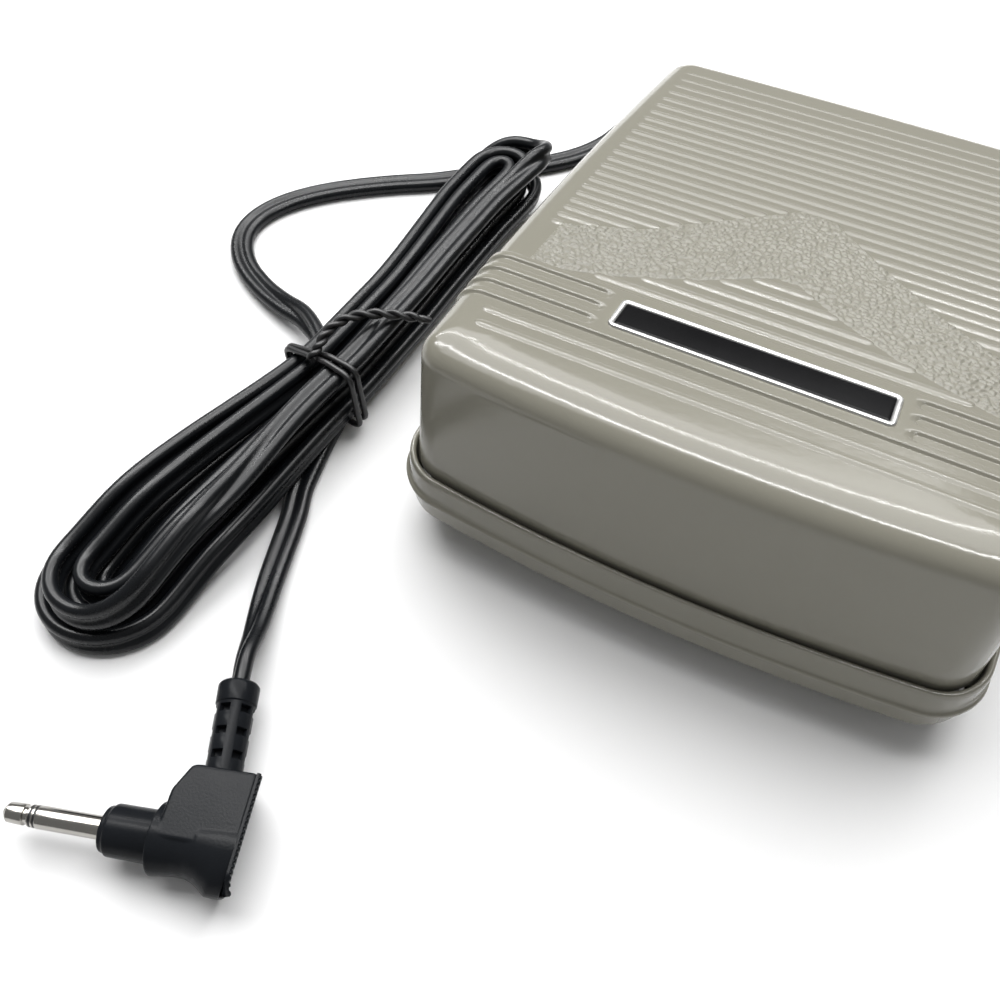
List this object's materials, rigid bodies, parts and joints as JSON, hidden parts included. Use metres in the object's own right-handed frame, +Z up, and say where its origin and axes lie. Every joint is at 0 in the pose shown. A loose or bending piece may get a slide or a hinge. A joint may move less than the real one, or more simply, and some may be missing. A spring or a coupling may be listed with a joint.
{
  "type": "sewing machine foot pedal",
  "caption": "Hinged speed pedal for a domestic sewing machine, with ribbed tread, sprung cover, geared speed sensor and a flat cord ending in a small right-angle jack plug.",
  "frame": {"origin": "centre of the pedal's footprint, on the floor it stands on", "axes": "+Y to the low, hinged end where the cord leaves, +Z up, +X to the right of somebody facing the tall end's back from the badge side"},
  "size_m": [0.1786, 0.2303, 0.0467],
  "materials": {
    "shell_plastic": "smooth glossy moulding, warm grey",
    "badge_rim": "bright bevelled rim",
    "badge_face": "glossy black, bare",
    "steel": "plain steel",
    "spring_steel": "spring wire",
    "foot_rubber": "soft matte rubber",
    "gear_plastic": "natural moulded plastic",
    "black_plastic": "satin black",
    "bracket_steel": "zinc plated sheet",
    "brass_nut": "plated brass",
    "board": "green lacquer",
    "cord_black": "soft black sheath with a slight sheen",
    "wire_red": "thin insulated wire",
    "plug_black": "moulded, satin",
    "jack_nickel": "polished nickel plate"
  },
  "bodies": {
    "base": {"base_housing": "shell_plastic", "hinge_pin_left": "steel", "hinge_pin_right": "steel", "return_spring_left": "spring_steel", "return_spring_right": "spring_steel", "foot_front_left": "foot_rubber", "foot_front_right": "foot_rubber", "foot_rear_left": "foot_rubber", "foot_rear_right": "foot_rubber", "stop_pad_left": "foot_rubber", "stop_pad_right": "foot_rubber", "pot_body": "black_plastic", "pot_bracket": "bracket_steel", "pot_nut": "brass_nut", "bracket_screws": "steel", "circuit_board": "board", "board_screws": "steel", "filter_capacitor": "black_plastic", "cord_clamp": "black_plastic", "clamp_screws": "steel", "core_wires": "cord_black", "pot_wires": "wire_red", "cord_gland": "black_plastic", "cord_lead": "cord_black", "cord_hank": "cord_black", "cord_tail": "cord_black", "cord_tie": "cord_black", "plug_strain_relief": "plug_black", "plug_body": "plug_black", "plug_grip": "plug_black", "jack_sleeve": "jack_nickel", "jack_insulator": "black_plastic", "jack_tip": "jack_nickel"},
    "pedal": {"pedal_cover": "shell_plastic", "badge_frame": "badge_rim", "badge_panel": "badge_face", "drive_rack": "gear_plastic", "rack_screws": "steel"},
    "rotor": {"pinion": "gear_plastic", "pot_shaft": "steel"}
  },
  "joints": [
    {"name": "pedal_press", "type": "hinge", "parent": "base", "child": "pedal", "pos_m": [0, 0.058, 0.0135], "axis": [1, 0, 0], "range_deg": [0, 3.2], "stiffness_Nm_per_rad": 8, "springref_deg": -3.44, "deforming": ["return_spring_left", "return_spring_right"]},
    {"name": "pinion_turn", "type": "hinge", "parent": "base", "child": "rotor", "pos_m": [0, -0.0335, 0.0135], "axis": [1, 0, 0], "range_deg": [-36.5, 0.5]}
  ],
  "couplings": [
    {"joint": "pinion_turn", "follows": "pedal_press", "ratio": -11.2}
  ]
}
